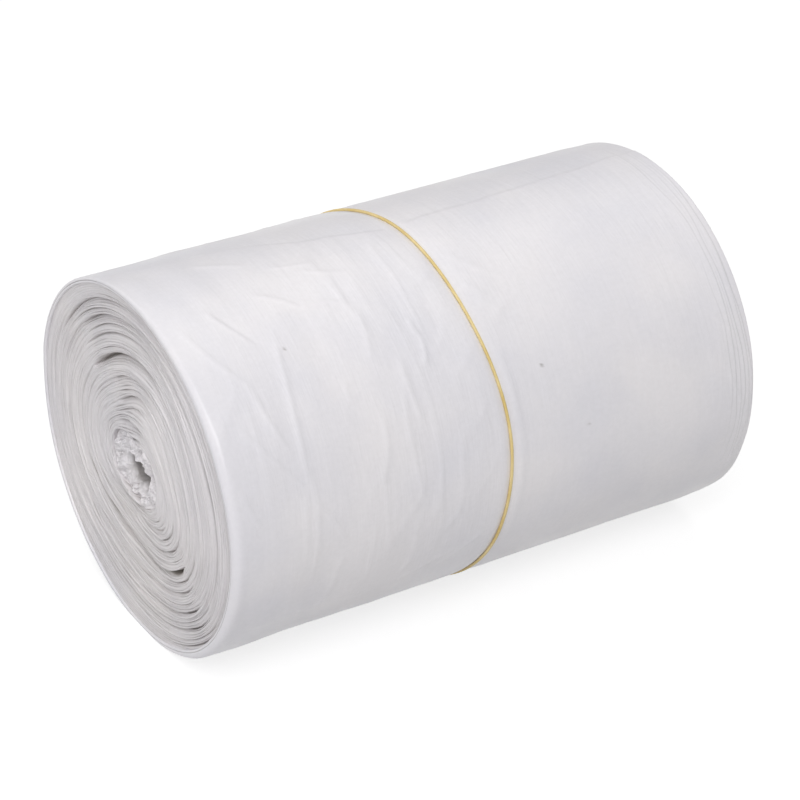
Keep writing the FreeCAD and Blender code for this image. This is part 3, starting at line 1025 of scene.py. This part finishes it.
# Metres, and degrees below the horizon and from +Y towards +X
CAMERA_PLACE = (-0.3731, -0.6092, 0.4521)
CAMERA_DOWN = 29.61
CAMERA_ROUND = 31.443
CAMERA_LENS = 135.0
CAMERA_SENSOR = 36.0


def larger(tree, first, second):
    """The larger of two values."""
    node = add_node(tree, "ShaderNodeMath", {0: first, 1: second}, operation="MAXIMUM")
    return node.outputs["Value"]


def pale_floor():
    """A wide pale square that the camera, glass and gloss see as white, with its shadows."""
    mesh = bpy.data.meshes.new("pale_floor")
    corners = [(-1, -1, 0), (1, -1, 0), (1, 1, 0), (-1, 1, 0)]
    mesh.from_pydata((np.array(corners) * FLOOR_HALF).tolist(), [], [(0, 1, 2, 3)])
    floor = bpy.data.objects.new("pale_floor", mesh)
    bpy.context.scene.collection.objects.link(floor)
    material, tree, shader = new_material("pale_floor")
    path = tree.nodes.new("ShaderNodeLightPath").outputs
    seen = larger(tree, path["Is Camera Ray"], path["Is Glossy Ray"])
    seen = larger(tree, seen, path["Is Transmission Ray"])
    tree.links.new(mixed(tree, seen, FLOOR_GREY, SEEN_GREY), shader.inputs["Base Color"])
    glow = add_node(tree, "ShaderNodeMath", {0: seen, 1: SEEN_GLOW}, operation="MULTIPLY")
    tree.links.new(glow.outputs["Value"], shader.inputs["Emission Strength"])
    shader.inputs["Emission Color"].default_value = PURE_WHITE
    shader.inputs["Roughness"].default_value = 0.9
    shader.inputs["Specular IOR Level"].default_value = 0.0
    floor.data.materials.append(material)
    return floor


def add_lamp(name, place, size, power):
    """A square lamp that faces LAMP_AIM."""
    light = bpy.data.lights.new(name, "AREA")
    light.shape = "SQUARE"
    light.size = size
    light.energy = power
    lamp = bpy.data.objects.new(name, light)
    lamp.location = place
    lamp.rotation_euler = (Vector(LAMP_AIM) - Vector(place)).to_track_quat("-Z", "Y").to_euler()
    bpy.context.scene.collection.objects.link(lamp)
    return lamp


pale_floor()
for lamp_name, place, size, power in LAMPS:
    add_lamp(lamp_name, place, size, power)

world = bpy.data.worlds.new("pale_world")
bpy.context.scene.world = world
world.use_nodes = True
sky = world.node_tree
backdrop = sky.nodes["Background"]
backdrop.inputs["Color"].default_value = PURE_WHITE
sky_path = sky.nodes.new("ShaderNodeLightPath").outputs
strength = ranged(sky, sky_path["Is Camera Ray"], 0.0, 1.0, WORLD_LIGHT, WORLD_SEEN)
sky.links.new(strength, backdrop.inputs["Strength"])

camera_data = bpy.data.cameras.new("camera")
camera_data.lens = CAMERA_LENS
camera_data.sensor_width = CAMERA_SENSOR
camera = bpy.data.objects.new("camera", camera_data)
camera.location = CAMERA_PLACE
camera.rotation_euler = (math.radians(90.0 - CAMERA_DOWN), 0.0, -math.radians(CAMERA_ROUND))
bpy.context.scene.collection.objects.link(camera)
bpy.context.scene.camera = camera

bpy.context.scene.view_settings.view_transform = "Standard"
